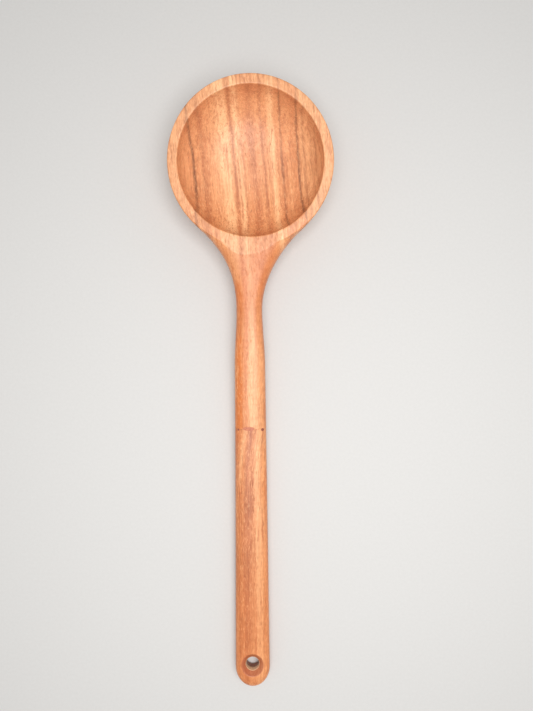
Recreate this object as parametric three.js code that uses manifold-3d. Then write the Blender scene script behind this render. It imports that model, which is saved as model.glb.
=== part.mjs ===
// A deep round serving spoon in oiled hardwood: a turned bowl with a flat planed rim, a neck that flares
// out of a crowned handle, and a hanging hole. The handle is spliced square across its middle: two lengths
// of wood butted on a glue film over a hidden fluted dowel, with three spots of filler in the seam.
//
// Millimetres. +Y runs from the handle's end to the bowl's tip, +X is across, +Z is up, and the table that
// the spoon lies on is z = 0. The origin is the middle of the spoon's box, on the table.
import * as THREE from 'three';
import { ParametricGeometry } from 'three/addons/geometries/ParametricGeometry.js';
import { mergeVertices } from 'three/addons/utils/BufferGeometryUtils.js';
import Module from 'manifold-3d';

const wasm = await Module();
wasm.setup();

// ---- Driving dimensions ----------------------------------------------------------------------------

const overallLength = 350;
const rimTilt = THREE.MathUtils.degToRad(7); // the rim's plane falls toward the handle

const bowlRadius = 46; // outside, at the rim
const bowlDepth = 32.9; // outside, from the rim's plane, before the foot is sanded
const bowlRoundness = 2.3; // exponent of the outside curve: 2 is an ellipse, more is squarer
const rimWidth = 5.6;
const bowlFloor = 7.5; // wall at the bowl's bottom
const cavityRoundness = 2.5;
const footSanding = 0.4; // taken off the bowl's lowest point, which leaves a small flat

const rimReach = 48.7; // from the bowl's centre to where the flat rim runs out on the neck
const neckFillet = 56; // radius of the arc, in plan, between the bowl and the neck
const neckHalfWidth = 7.5;
const neckThickness = 13;
const neckOffset = -1.2; // the hand-shaped handle leaves the bowl a little to one side
const neckLift = 0.15; // slope of the neck's back against the rim's plane, where the two meet
const waistLength = 32; // how fast the handle fills out behind its narrowest place

const handleHalfWidthAtEnd = 10.2;
const handleTaper = 0.0069; // half-width lost for each millimetre toward the bowl
const handleThicknessAtEnd = 10.8;
const handleOffsetAtEnd = 0.6;
const handleBendSoftness = 25; // length over which the handle levels out onto the table
const handleSquareness = 2.8; // exponent of the crowned section
const webSquareness = 3.4; // the same for the flatter web under the rim
const webSink = 1.5; // how far the web's flanks dive into the bowl's wall
const webEase = 10; // length over which they start to, before the plan's arc meets the bowl
const endRoundLength = 12; // length of the half ellipse that closes the handle

const spliceFromEnd = 154.6;
const filmThickness = 0.4;
const dowelRadius = 3;
const dowelLength = 36;
const dowelFlutes = 12;
const dowelFluteDepth = 0.3;
const dowelChamfer = 0.8;
const boreSpare = 1.5; // room left for glue past each end of the dowel

const fillerDepth = 1.2;
const crownFiller = { across: -1.05, along: 0.2, halfWidth: 3.55, halfLength: 0.9 };
const sideFillers = { across: 7.1, along: -0.45, halfWidth: 0.7, halfLength: 0.75 };

const holeRadius = 4;
const holeFromEnd = 14.2;
const topSink = { flare: 2.8, depth: 2.6 }; // flare is the countersink's radius past the hole's
const backSink = { flare: 1.6, depth: 1.5 };

const fit = 0.3; // clearance between neighbouring solids

// ---- Sizes that follow from them -------------------------------------------------------------------

// How far the tilted bowl reaches from its rim's centre, given the direction's parts along the rim and
// along the bowl's axis: the support function of its superelliptic outline.
const dual = bowlRoundness / (bowlRoundness - 1);
const bowlReach = (along, down) => ((bowlRadius * along) ** dual + (bowlDepth * down) ** dual) ** (1 / dual);

const bowlY = overallLength / 2 - bowlReach(Math.cos(rimTilt), Math.sin(rimTilt));
const rimZ = bowlReach(Math.sin(rimTilt), Math.cos(rimTilt)) - footSanding;
const endY = -overallLength / 2;
const endRoundY = endY + endRoundLength;
const holeY = endY + holeFromEnd;
const spliceY = endY + spliceFromEnd;
const rimEndY = bowlY - rimReach;
const filletCentreX = neckHalfWidth + neckFillet;
const waistY = bowlY - Math.sqrt((bowlRadius + neckFillet) ** 2 - filletCentreX ** 2);
const tangentY = bowlY - ((bowlY - waistY) * bowlRadius) / (bowlRadius + neckFillet);
const webEndY = bowlY - bowlRadius * 0.6; // inside the bowl's wall

const rimPlaneZ = (y) => rimZ + Math.tan(rimTilt) * (y - bowlY);

// ---- The handle's shape along its length -----------------------------------------------------------

const { clamp, lerp, smoothstep } = THREE.MathUtils;

function halfWidth(y) {
  const handle = handleHalfWidthAtEnd - handleTaper * (y - endRoundY);
  if (y < waistY) {
    return lerp(neckHalfWidth, handle, smoothstep(waistY - y, 0, waistLength));
  }
  const sunk = webSink * smoothstep(y, tangentY - webEase, webEndY);
  if (y < tangentY) {
    return filletCentreX - Math.sqrt(neckFillet ** 2 - (y - waistY) ** 2) - sunk;
  }
  return Math.sqrt(bowlRadius ** 2 - (bowlY - y) ** 2) - sunk;
}

function thickness(y) {
  const handle = lerp(handleThicknessAtEnd, neckThickness, (y - endY) / (waistY - endY));
  if (y < waistY) {
    return handle;
  }
  return neckThickness + (neckLift * (y - waistY) ** 2) / (2 * (rimEndY - waistY));
}

// The underside runs parallel to the rim under the neck and levels out softly onto the table.
const bendY = rimEndY - (rimPlaneZ(rimEndY) - thickness(rimEndY)) / Math.tan(rimTilt);

function undersideZ(y) {
  const past = Math.exp((y - bendY) / handleBendSoftness);
  return Math.tan(rimTilt) * handleBendSoftness * Math.log(1 + past);
}

const centreZ = (y) => undersideZ(y) + thickness(y) / 2;

function centreX(y) {
  const along = (y - endRoundY) / (waistY - endRoundY);
  if (y < waistY) {
    return lerp(handleOffsetAtEnd, neckOffset, along);
  }
  return neckOffset * (1 - smoothstep(y, waistY, bowlY - bowlRadius));
}

function squareness(y) {
  return lerp(handleSquareness, webSquareness, smoothstep(y, waistY, rimEndY));
}

// Height of the crowned top over the handle's middle, at a distance across from the centre line.
function crownRise(y, across) {
  const n = squareness(y);
  const share = clamp(Math.abs(across) / halfWidth(y), 0, 1);
  return (thickness(y) / 2) * (1 - share ** n) ** (1 / n);
}

// ---- Solids ----------------------------------------------------------------------------------------

function toManifold(geometry) {
  geometry.deleteAttribute('normal');
  geometry.deleteAttribute('uv');
  const merged = mergeVertices(geometry);
  const mesh = new wasm.Mesh({
    numProp: 3,
    vertProperties: merged.getAttribute('position').array,
    triVerts: new Uint32Array(merged.getIndex().array),
  });
  return new wasm.Manifold(mesh);
}

function toGeometry(manifold) {
  const mesh = manifold.getMesh();
  const geometry = new THREE.BufferGeometry();
  geometry.setAttribute('position', new THREE.BufferAttribute(mesh.vertProperties, 3));
  geometry.setIndex(new THREE.BufferAttribute(mesh.triVerts, 1));
  geometry.computeVertexNormals();
  return geometry;
}

// Rim frame: its XZ plane is the rim's plane and +Y is the rim's normal, as a lathe needs.
const rimFrame = new THREE.Matrix4()
  .makeTranslation(0, bowlY, rimZ)
  .multiply(new THREE.Matrix4().makeRotationX(Math.PI / 2 + rimTilt));

// Splice frame: +Y is the dowel's axis, along the handle, and XZ is the plane of the joint.
const spliceSlope = Math.atan(centreZ(spliceY + 1) - centreZ(spliceY));
const spliceFrame = new THREE.Matrix4()
  .makeTranslation(centreX(spliceY), spliceY, centreZ(spliceY))
  .multiply(new THREE.Matrix4().makeRotationX(spliceSlope));

function boxIn(frame, size, centre) {
  const geometry = new THREE.BoxGeometry(...size);
  geometry.translate(...centre);
  return toManifold(geometry.applyMatrix4(frame));
}

// A bowl-shaped solid of revolution with a superelliptic outline, carried on past the rim's plane.
function turnedBowl(radius, depth, roundness, overshoot, rows, segments) {
  const profile = [];
  for (let row = 0; row <= rows; row++) {
    const angle = (row / rows) * (Math.PI / 2);
    const r = radius * Math.sin(angle) ** (2 / roundness);
    const h = -depth * Math.cos(angle) ** (2 / roundness);
    profile.push(new THREE.Vector2(r, row === rows ? 0 : h));
  }
  profile.push(new THREE.Vector2(radius, overshoot), new THREE.Vector2(0, overshoot));
  const geometry = new THREE.LatheGeometry(profile, segments);
  return toManifold(geometry.applyMatrix4(rimFrame));
}

// The handle and the web that carries it into the bowl: one loft of crowned sections, closed at the end by
// a half ellipse and, inside the bowl's wall, by a plain cap.
function handleLoft(around) {
  const endRows = 7;
  const rowLength = 7;
  const rows = [];
  for (let row = 0; row < endRows; row++) {
    const turn = (Math.PI / 2) * (1 - row / endRows);
    rows.push({ y: endRoundY - endRoundLength * Math.sin(turn), turn });
  }
  const bodyRows = Math.round((webEndY - endRoundY) / rowLength);
  for (let row = 0; row <= bodyRows; row++) {
    rows.push({ y: lerp(endRoundY, webEndY, row / bodyRows), turn: 0 });
  }
  rows.push({ y: webEndY, turn: Math.PI / 2 });

  const pointAt = (u, v, target) => {
    const { y, turn } = rows[Math.round(v * (rows.length - 1))];
    const angle = (-2 * Math.PI * (Math.round(u * around) % around)) / around;
    const bodyY = Math.max(y, endRoundY);
    const n = squareness(bodyY);
    const share = Math.sqrt(1 - (Math.cos(turn) * Math.sin(angle)) ** 2);
    const rise = (thickness(bodyY) / 2) * (1 - Math.min(share, 1) ** n) ** (1 / n);
    const x = centreX(bodyY) + halfWidth(bodyY) * Math.cos(turn) * Math.cos(angle);
    target.set(x, y, centreZ(bodyY) + rise * Math.sign(Math.sin(angle)));
  };
  return toManifold(new ParametricGeometry(pointAt, around, rows.length - 1));
}

// The wood before it is spliced: bowl and handle joined, hollowed, planed flat at the rim, and sanded flat
// where the bowl stands.
function shapedBlank() {
  const margin = 10;
  const bowl = turnedBowl(bowlRadius, bowlDepth, bowlRoundness, fit, 14, 56);
  const cavity = turnedBowl(
    bowlRadius - rimWidth,
    bowlDepth - bowlFloor,
    cavityRoundness,
    margin,
    12,
    56,
  );
  const planedLength = bowlY - waistY + bowlRadius + margin;
  const planed = boxIn(
    rimFrame,
    [2 * bowlRadius + margin, margin, planedLength],
    [0, margin / 2, planedLength / 2 - bowlRadius - margin],
  );
  const table = boxIn(
    new THREE.Matrix4(),
    [2 * bowlRadius, 2 * bowlRadius, margin],
    [0, bowlY, -margin / 2],
  );
  return handleLoft(28).add(bowl).subtract(cavity).subtract(planed).subtract(table);
}

// Everything on one side of the joint: side is +1 toward the bowl and -1 toward the handle's end.
function halfSpace(side) {
  const clear = filmThickness / 2 + fit;
  const reach = overallLength;
  return boxIn(spliceFrame, [reach, reach, reach], [0, side * (clear + reach / 2), 0]);
}

function dowelBore(length) {
  const geometry = new THREE.CylinderGeometry(dowelRadius + fit, dowelRadius + fit, length, 32);
  return toManifold(geometry.applyMatrix4(spliceFrame));
}

// A fluted dowel: a scalloped bar along the splice's axis, cut to a chamfered cylinder.
function dowel() {
  const steps = dowelFlutes * 4;
  const points = [];
  for (let step = 0; step < steps; step++) {
    const angle = (2 * Math.PI * step) / steps;
    const r = dowelRadius - (dowelFluteDepth / 2) * (1 - Math.cos(dowelFlutes * angle));
    points.push(new THREE.Vector2(r * Math.cos(angle), r * Math.sin(angle)));
  }
  const bar = new THREE.ExtrudeGeometry(new THREE.Shape(points), {
    depth: dowelLength,
    bevelEnabled: false,
  });
  bar.translate(0, 0, -dowelLength / 2);
  bar.rotateX(Math.PI / 2);

  const half = dowelLength / 2;
  const chamfered = new THREE.LatheGeometry(
    [
      new THREE.Vector2(0, -half),
      new THREE.Vector2(dowelRadius - dowelChamfer, -half),
      new THREE.Vector2(dowelRadius + fit / 2, dowelChamfer + fit / 2 - half),
      new THREE.Vector2(dowelRadius + fit / 2, half - dowelChamfer - fit / 2),
      new THREE.Vector2(dowelRadius - dowelChamfer, half),
      new THREE.Vector2(0, half),
    ],
    steps,
  );
  return toManifold(bar.applyMatrix4(spliceFrame)).intersect(
    toManifold(chamfered.applyMatrix4(spliceFrame)),
  );
}

// An upright plug on the joint, from under the crown's surface to above it, grown all round by `grown`.
function fillerPrism({ across, along, halfWidth: a, halfLength: b }, grown) {
  const surface = crownRise(spliceY, Math.abs(across) + a);
  const bottom = surface - fillerDepth - grown;
  const shape = new THREE.Shape();
  shape.absellipse(across, along, a + grown, b + grown, 0, 2 * Math.PI);
  const geometry = new THREE.ExtrudeGeometry(shape, {
    depth: thickness(spliceY) - bottom,
    bevelEnabled: false,
    curveSegments: 12,
  });
  geometry.translate(0, 0, bottom);
  return toManifold(geometry.applyMatrix4(spliceFrame));
}

// The hanging hole: a straight bore with a countersink on the top and a smaller one on the back.
function hangingHole() {
  const half = handleThicknessAtEnd; // past both faces
  const top = centreZ(holeY) + thickness(holeY) / 2;
  const back = undersideZ(holeY);
  const profile = [
    new THREE.Vector2(0, back - half),
    new THREE.Vector2(holeRadius + backSink.flare, back - half),
    new THREE.Vector2(holeRadius + backSink.flare, back),
    new THREE.Vector2(holeRadius, back + backSink.depth),
    new THREE.Vector2(holeRadius, top - topSink.depth),
    new THREE.Vector2(holeRadius + topSink.flare, top),
    new THREE.Vector2(holeRadius + topSink.flare, top + half),
    new THREE.Vector2(0, top + half),
  ];
  const geometry = new THREE.LatheGeometry(profile, 32);
  geometry.rotateX(Math.PI / 2);
  geometry.translate(centreX(holeY), holeY, 0);
  return toManifold(geometry);
}

// ---- Materials and assembly ------------------------------------------------------------------------

const oiledWood = { color: 0xd49a6a, roughness: 0.5, metalness: 0 };
const dowelWood = { color: 0xdcc49a, roughness: 0.7, metalness: 0 };
const glue = { color: 0xc9a66b, roughness: 0.4, metalness: 0 };
const filler = { color: 0x9c5038, roughness: 0.6, metalness: 0 };

const spoon = new THREE.Group();

function addPiece(name, manifold, finish) {
  const mesh = new THREE.Mesh(toGeometry(manifold), new THREE.MeshStandardMaterial(finish));
  mesh.name = name;
  spoon.add(mesh);
}

const blank = shapedBlank();
const fillers = {
  filler_crown: crownFiller,
  filler_left: { ...sideFillers, across: -sideFillers.across },
  filler_right: sideFillers,
};

let head = blank.intersect(halfSpace(1)).subtract(dowelBore(dowelLength + 2 * boreSpare));
let tail = blank.intersect(halfSpace(-1)).subtract(dowelBore(dowelLength + 2 * boreSpare));
const film = boxIn(spliceFrame, [overallLength, filmThickness, overallLength], [0, 0, 0]);
let glueFilm = blank.intersect(film).subtract(dowelBore(dowelLength));

for (const [name, spot] of Object.entries(fillers)) {
  addPiece(name, blank.intersect(fillerPrism(spot, 0)), filler);
  const pocket = fillerPrism(spot, fit);
  head = head.subtract(pocket);
  tail = tail.subtract(pocket);
  glueFilm = glueFilm.subtract(pocket);
}

addPiece('spoon_head', head, oiledWood);
addPiece('handle_tail', tail.subtract(hangingHole()), oiledWood);
addPiece('splice_dowel', dowel(), dowelWood);
addPiece('glue_film', glueFilm, glue);

export default spoon;
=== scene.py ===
"""Looks of the deep round serving spoon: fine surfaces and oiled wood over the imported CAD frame."""

import logging
import math
from collections.abc import Callable, Sequence
from dataclasses import dataclass, field
from enum import Enum
from typing import Any

import bpy
import numpy as np
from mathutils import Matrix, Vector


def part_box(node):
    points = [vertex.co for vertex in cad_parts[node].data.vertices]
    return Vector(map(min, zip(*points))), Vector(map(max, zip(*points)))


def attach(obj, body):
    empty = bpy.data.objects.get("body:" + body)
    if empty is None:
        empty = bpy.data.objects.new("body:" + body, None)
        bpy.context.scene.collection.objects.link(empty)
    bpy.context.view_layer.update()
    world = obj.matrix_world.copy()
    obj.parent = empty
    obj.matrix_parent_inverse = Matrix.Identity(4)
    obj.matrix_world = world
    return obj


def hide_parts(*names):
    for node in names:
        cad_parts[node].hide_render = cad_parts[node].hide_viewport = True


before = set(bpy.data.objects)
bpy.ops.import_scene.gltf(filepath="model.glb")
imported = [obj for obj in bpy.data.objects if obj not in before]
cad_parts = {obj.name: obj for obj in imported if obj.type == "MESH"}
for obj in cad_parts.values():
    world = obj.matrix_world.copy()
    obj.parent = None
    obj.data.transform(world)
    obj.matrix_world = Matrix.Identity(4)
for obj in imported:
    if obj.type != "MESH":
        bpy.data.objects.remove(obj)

LOG = logging.getLogger("spoon")
MM = 0.001
X_AXIS = np.array([1.0, 0.0, 0.0])
MARCH_STEPS = 48
HALVINGS = 26
WELD = 0.002 * MM
SHARP_ANGLE = math.radians(40.0)
REFRACTION = 1.45
SCREEN_POWER = 2.2
PAST_TAIL, PAST_TIP = -400.0, 400.0
LINE_FADE = 15.0
Array = np.ndarray
Colour = tuple[float, float, float, float]


# --- Formulas shared by the shapes ---


def smoothstep(value: Array, low: float, high: float) -> Array:
    """Rises from 0 at low to 1 at high with flat ends: 3t^2 - 2t^3 of the clamped share t."""
    share = np.clip((value - low) / (high - low), 0.0, 1.0)
    return share * share * (3.0 - 2.0 * share)


def blend(start: Array, end: Array, share: Array) -> Array:
    """Straight blend from start at share 0 to end at share 1."""
    return start + (end - start) * share


def soft_union(first: Array, second: Array, reach: Array) -> Array:
    """Smaller of two distances, rounded where they are within reach of each other.

    The rounding is the quadratic one: the blend of the two less reach times h(1 - h).
    """
    share = np.clip(0.5 + 0.5 * (second - first) / reach, 0.0, 1.0)
    return blend(second, first, share) - reach * share * (1.0 - share)


def soft_cut(first: Array, second: Array, reach: Array) -> Array:
    """Larger of two distances, rounded in the same way."""
    return -soft_union(-first, -second, reach)


def radial_distance(across: Array, up: Array, half_across: Array, half_up: Array, power: Array) -> Array:
    """Distance past a superellipse, measured along the ray from its middle.

    The share is (|a/A|^n + |u/U|^n)^(1/n), and the distance is the radius times 1 - 1/share.
    """
    share = (np.abs(across / half_across) ** power + np.abs(up / half_up) ** power) ** (1.0 / power)
    return np.hypot(across, up) * (1.0 - 1.0 / np.maximum(share, 1e-9))


# --- The spoon's form ---


@dataclass(frozen=True)
class SpoonForm:
    """The spoon's outside and inside as formulas, in metres, placed by the CAD frame.

    The whole outside is one field: below zero in the wood, zero on its surface, and about the distance
    to it outside. Its parts are a turned bowl, a crowned handle that flares into a web, the rim's plane
    that cuts both, and the table's plane that cuts the foot.
    """

    head_low: Array = field(default_factory=lambda: np.array(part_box("spoon_head")[0]))
    head_high: Array = field(default_factory=lambda: np.array(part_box("spoon_head")[1]))
    tail_low: Array = field(default_factory=lambda: np.array(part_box("handle_tail")[0]))
    film_low: Array = field(default_factory=lambda: np.array(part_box("glue_film")[0]))
    film_high: Array = field(default_factory=lambda: np.array(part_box("glue_film")[1]))

    rim_tilt: float = math.radians(7.0)
    bowl_depth: float = 32.9 * MM
    bowl_roundness: float = 2.3
    rim_width: float = 5.6 * MM
    bowl_floor: float = 7.5 * MM
    cavity_roundness: float = 2.5
    foot_sanding: float = 0.4 * MM

    rim_reach: float = 48.7 * MM
    neck_fillet: float = 56.0 * MM
    neck_half_width: float = 7.5 * MM
    neck_thickness: float = 13.0 * MM
    neck_offset: float = -1.2 * MM
    neck_lift: float = 0.15
    waist_length: float = 32.0 * MM
    web_sink: float = 1.5 * MM
    web_ease: float = 10.0 * MM
    web_end_share: float = 0.6
    top_reach: float = 0.5 * MM
    wing_reach: float = 2.0 * MM
    wing_span: tuple[float, float] = (14.0 * MM, 24.0 * MM)
    throat: float = 10.0 * MM
    throat_drop: tuple[float, float] = (7.0 * MM, 15.0 * MM)
    throat_span: tuple[float, float] = (12.0 * MM, 24.0 * MM)

    end_half_width: float = 10.2 * MM
    taper: float = 0.0069
    end_thickness: float = 10.8 * MM
    end_offset: float = 0.6 * MM
    bend_softness: float = 25.0 * MM
    handle_squareness: float = 2.8
    web_squareness: float = 3.4
    web_skew: float = 0.02
    belly_squareness: float = 2.3
    end_round: float = 12.0 * MM

    edge_softness: float = 1.1 * MM
    neck_edge_softness: float = 0.08 * MM
    foot_softness: float = 0.3 * MM

    @property
    def bowl_radius(self) -> float:
        """Outside radius of the bowl at its rim."""
        return float(self.head_high[0] - self.head_low[0]) / 2

    @property
    def opening_radius(self) -> float:
        """Radius of the bowl's opening."""
        return self.bowl_radius - self.rim_width

    @property
    def cavity_depth(self) -> float:
        """Depth of the hollow below the rim's plane."""
        return self.bowl_depth - self.bowl_floor

    def bowl_reach(self, along: float, down: float) -> float:
        """How far the tilted bowl reaches from its rim's centre, by its outline's support function."""
        dual = self.bowl_roundness / (self.bowl_roundness - 1)
        return ((self.bowl_radius * along) ** dual + (self.bowl_depth * down) ** dual) ** (1 / dual)

    @property
    def bowl_y(self) -> float:
        """Y of the rim's centre."""
        return float(self.head_high[1]) - self.bowl_reach(math.cos(self.rim_tilt), math.sin(self.rim_tilt))

    @property
    def rim_z(self) -> float:
        """Height of the rim's centre over the table."""
        return self.bowl_reach(math.sin(self.rim_tilt), math.cos(self.rim_tilt)) - self.foot_sanding

    @property
    def rim_end_y(self) -> float:
        """Y where the flat rim runs out on the neck."""
        return self.bowl_y - self.rim_reach

    @property
    def waist_y(self) -> float:
        """Y of the neck's narrowest place, where the plan's fillet meets the handle."""
        arms = (self.bowl_radius + self.neck_fillet) ** 2 - (self.neck_half_width + self.neck_fillet) ** 2
        return self.bowl_y - math.sqrt(arms)

    @property
    def tangent_y(self) -> float:
        """Y where the plan's fillet meets the bowl."""
        share = self.bowl_radius / (self.bowl_radius + self.neck_fillet)
        return self.bowl_y - (self.bowl_y - self.waist_y) * share

    @property
    def web_end_y(self) -> float:
        """Y inside the bowl's wall where the web stops."""
        return self.bowl_y - self.web_end_share * self.bowl_radius

    @property
    def end_y(self) -> float:
        """Y of the handle's end."""
        return float(self.tail_low[1])

    @property
    def round_y(self) -> float:
        """Y where the handle's rounded end starts."""
        return self.end_y + self.end_round

    @property
    def splice_y(self) -> float:
        """Y of the joint across the handle."""
        return float(self.film_low[1] + self.film_high[1]) / 2

    @property
    def bend_y(self) -> float:
        """Y where the underside turns from the table's plane to the rim's."""
        rise = self.rim_plane(self.rim_end_y) - self.thickness(np.array(self.rim_end_y))
        return self.rim_end_y - float(rise) / math.tan(self.rim_tilt)

    def rim_plane(self, y: Array) -> Array:
        """Height of the rim's plane over the table."""
        return self.rim_z + math.tan(self.rim_tilt) * (y - self.bowl_y)

    def to_rim(self, y: Array, z: Array) -> tuple[Array, Array]:
        """Distances along the rim's plane, toward the tip, and above it."""
        cos, sin = math.cos(self.rim_tilt), math.sin(self.rim_tilt)
        dy, dz = y - self.bowl_y, z - self.rim_z
        return dy * cos + dz * sin, dz * cos - dy * sin

    def from_rim(self, across: Array, along: Array, above: Array) -> Array:
        """Points from distances across, along and above the rim's plane."""
        cos, sin = math.cos(self.rim_tilt), math.sin(self.rim_tilt)
        across, along, above = np.broadcast_arrays(across, along, above)
        return np.stack(
            [across, self.bowl_y + along * cos - above * sin, self.rim_z + along * sin + above * cos], -1
        )

    def half_width(self, y: Array) -> Array:
        """Half the width in plan: the tapering handle, the neck's arc, then the bowl's own circle.

        The web sinks a little inside the bowl's circle, so that its wings don't show past the rim.
        """
        handle = self.end_half_width - self.taper * (y - self.round_y)
        rear = blend(self.neck_half_width, handle, smoothstep(self.waist_y - y, 0.0, self.waist_length))
        climb = np.clip(y - self.waist_y, 0.0, self.tangent_y - self.waist_y)
        centre = self.neck_half_width + self.neck_fillet
        arc = centre - np.sqrt(self.neck_fillet**2 - climb**2)
        sunk = self.web_sink * smoothstep(y, self.tangent_y - self.web_ease, self.web_end_y)
        circle = np.sqrt(np.maximum(self.bowl_radius**2 - (self.bowl_y - y) ** 2, 1e-8))
        return np.where(y < self.waist_y, rear, np.where(y < self.tangent_y, arc, circle) - sunk)

    def thickness(self, y: Array) -> Array:
        """Depth of the section: straight along the handle, then thicker toward the rim as a parabola."""
        share = (y - self.end_y) / (self.waist_y - self.end_y)
        handle = blend(self.end_thickness, self.neck_thickness, share)
        climb = np.maximum(y - self.waist_y, 0.0)
        web = self.neck_thickness + self.neck_lift * climb**2 / (2 * (self.rim_end_y - self.waist_y))
        return np.where(y < self.waist_y, handle, web)

    def underside(self, y: Array) -> Array:
        """Height of the back: the table's plane and the rim's tilt joined by a softplus curve."""
        past = (y - self.bend_y) / self.bend_softness
        return math.tan(self.rim_tilt) * self.bend_softness * np.logaddexp(0.0, past)

    def centre_z(self, y: Array) -> Array:
        """Height of the middle of the section."""
        return self.underside(y) + self.thickness(y) / 2

    def centre_x(self, y: Array) -> Array:
        """Sideways place of the middle: a straight, slightly skewed handle that the web leads home."""
        share = (y - self.round_y) / (self.waist_y - self.round_y)
        home = 1.0 - smoothstep(y, self.waist_y, self.bowl_y - self.bowl_radius)
        handle = blend(self.end_offset, self.neck_offset, share)
        return np.where(y < self.waist_y, handle, self.neck_offset * home)

    def handle_field(self, x: Array, y: Array, z: Array) -> Array:
        """Distance past the crowned section, whose back is rounder than its top near the bowl."""
        flare = smoothstep(y, self.waist_y, self.rim_end_y)
        up = z - self.centre_z(y) + self.web_skew * flare * x
        top = blend(self.handle_squareness, self.web_squareness, flare)
        belly = blend(self.handle_squareness, self.belly_squareness, flare)
        power = np.where(up > 0.0, top, belly)
        shell = radial_distance(x - self.centre_x(y), up, self.half_width(y), self.thickness(y) / 2, power)
        return np.maximum(shell, y - self.web_end_y)

    def bowl_field(self, x: Array, y: Array, z: Array) -> Array:
        """Distance past the turned bowl, which goes straight up above the rim's plane."""
        along, above = self.to_rim(y, z)
        across, depth = np.hypot(x, along), np.maximum(-above, 0.0)
        return radial_distance(across, depth, self.bowl_radius, self.bowl_depth, self.bowl_roundness)

    def outside(self, points: Array) -> Array:
        """The whole outside: bowl and handle softly joined, planed at the rim and sanded at the foot.

        The join is a wide fillet low under the middle of the neck, a small one where the web's wings run
        into the bowl, and almost none on top, so that the plan keeps its own arc.
        """
        x, y, z = np.moveaxis(points, -1, 0)
        _, above = self.to_rim(y, z)
        side = np.abs(x)
        under = smoothstep(-above, *self.throat_drop) * (1.0 - smoothstep(side, *self.throat_span))
        wings = blend(self.top_reach, self.wing_reach, smoothstep(side, *self.wing_span))
        reach = blend(wings, self.throat, under)
        body = soft_union(self.bowl_field(x, y, z), self.handle_field(x, y, z), reach)
        planed = np.where(y > self.waist_y, above, -self.bowl_radius)
        wide = smoothstep(y, self.rim_end_y, self.tangent_y)
        edge = blend(self.neck_edge_softness, self.edge_softness, wide)
        return soft_cut(soft_cut(body, planed, edge), -z, self.foot_softness)


def march(shape: Callable[[Array], Array], start: Array, heading: Array, reach: float) -> Array:
    """Points where rays first leave a field's inside: coarse steps out, then halving.

    Args:
        shape: The field, below zero inside.
        start: Where each ray starts, inside.
        heading: Each ray's unit direction.
        reach: How far to look.

    Returns:
        One surface point for each ray.
    """
    start, heading = np.broadcast_arrays(start, heading)
    low = np.zeros(start.shape[:-1])
    high = np.full(low.shape, reach)
    found = np.zeros(low.shape, bool)
    for step in np.linspace(0.0, reach, MARCH_STEPS + 1)[1:]:
        out = shape(start + step * heading) > 0.0
        high = np.where(out & ~found, step, high)
        found |= out
        low = np.where(found, low, step)
    for _ in range(HALVINGS):
        middle = (low + high) / 2
        out = shape(start + middle[..., None] * heading) > 0.0
        high = np.where(out, middle, high)
        low = np.where(out, low, middle)
    return start + ((low + high) / 2)[..., None] * heading


# --- Meshes ---


@dataclass
class Skin:
    """Grids of points gathered into one closed triangle mesh.

    Points that meet, at seams, poles and shared edges, are welded, and the slivers this leaves go.
    """

    points: list[Array] = field(default_factory=list)
    faces: list[Array] = field(default_factory=list)

    def add(self, grid: Array, wrap: bool = True, flip: bool = False) -> None:
        """Adds rows of points as quads cut in two.

        Args:
            grid: Points by row and column.
            wrap: Whether the last column joins the first.
            flip: Whether the faces turn the other way.
        """
        rows, columns = grid.shape[:2]
        base = sum(len(block) for block in self.points)
        index = base + np.arange(rows * columns).reshape(rows, columns)
        if wrap:
            index = np.concatenate([index, index[:, :1]], axis=1)
        a, b = index[:-1, :-1].ravel(), index[:-1, 1:].ravel()
        c, d = index[1:, 1:].ravel(), index[1:, :-1].ravel()
        quads = np.concatenate([np.stack([a, b, c], 1), np.stack([a, c, d], 1)])
        self.points.append(grid.reshape(-1, 3))
        self.faces.append(quads[:, ::-1] if flip else quads)

    def build(self, name: str, closed: bool = True) -> bpy.types.Object:
        """Welds the grids and makes the Blender object.

        Args:
            name: Name of the object and its mesh.
            closed: Whether the mesh must be a closed body.

        Returns:
            The linked object, smooth shaded.
        """
        points, faces = np.concatenate(self.points), np.concatenate(self.faces)
        _, first, place = np.unique(
            np.round(points / WELD).astype(np.int64), axis=0, return_index=True, return_inverse=True
        )
        points, faces = points[first], place.reshape(-1)[faces]
        whole = (faces[:, 0] != faces[:, 1]) & (faces[:, 1] != faces[:, 2]) & (faces[:, 2] != faces[:, 0])
        faces = faces[whole]
        if closed:
            edges = np.concatenate([faces[:, [0, 1]], faces[:, [1, 2]], faces[:, [2, 0]]])
            _, uses = np.unique(np.sort(edges, axis=1), axis=0, return_counts=True)
            _, same_way = np.unique(edges, axis=0, return_counts=True)
            a, b, c = points[faces[:, 0]], points[faces[:, 1]], points[faces[:, 2]]
            volume = float(np.einsum("ij,ij->i", a, np.cross(b, c)).sum()) / 6
            LOG.info("%s: %.0f mm3, %d open or doubled edges", name, volume / MM**3, int((uses != 2).sum()))
            LOG.info("%s: %d edges turned wrong", name, int((same_way != 1).sum()))
            faces = faces if volume > 0 else faces[:, ::-1]

        mesh = bpy.data.meshes.new(name)
        mesh.vertices.add(len(points))
        mesh.vertices.foreach_set("co", points.astype(np.float32).ravel())
        mesh.loops.add(faces.size)
        mesh.loops.foreach_set("vertex_index", faces.astype(np.int32).ravel())
        mesh.polygons.add(len(faces))
        mesh.polygons.foreach_set("loop_start", np.arange(0, faces.size, 3, dtype=np.int32))
        mesh.update(calc_edges=True)
        mesh.validate()
        mesh.shade_smooth()
        mesh.set_sharp_from_angle(angle=SHARP_ANGLE)
        piece = bpy.data.objects.new(name, mesh)
        bpy.context.scene.collection.objects.link(piece)
        return piece


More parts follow.
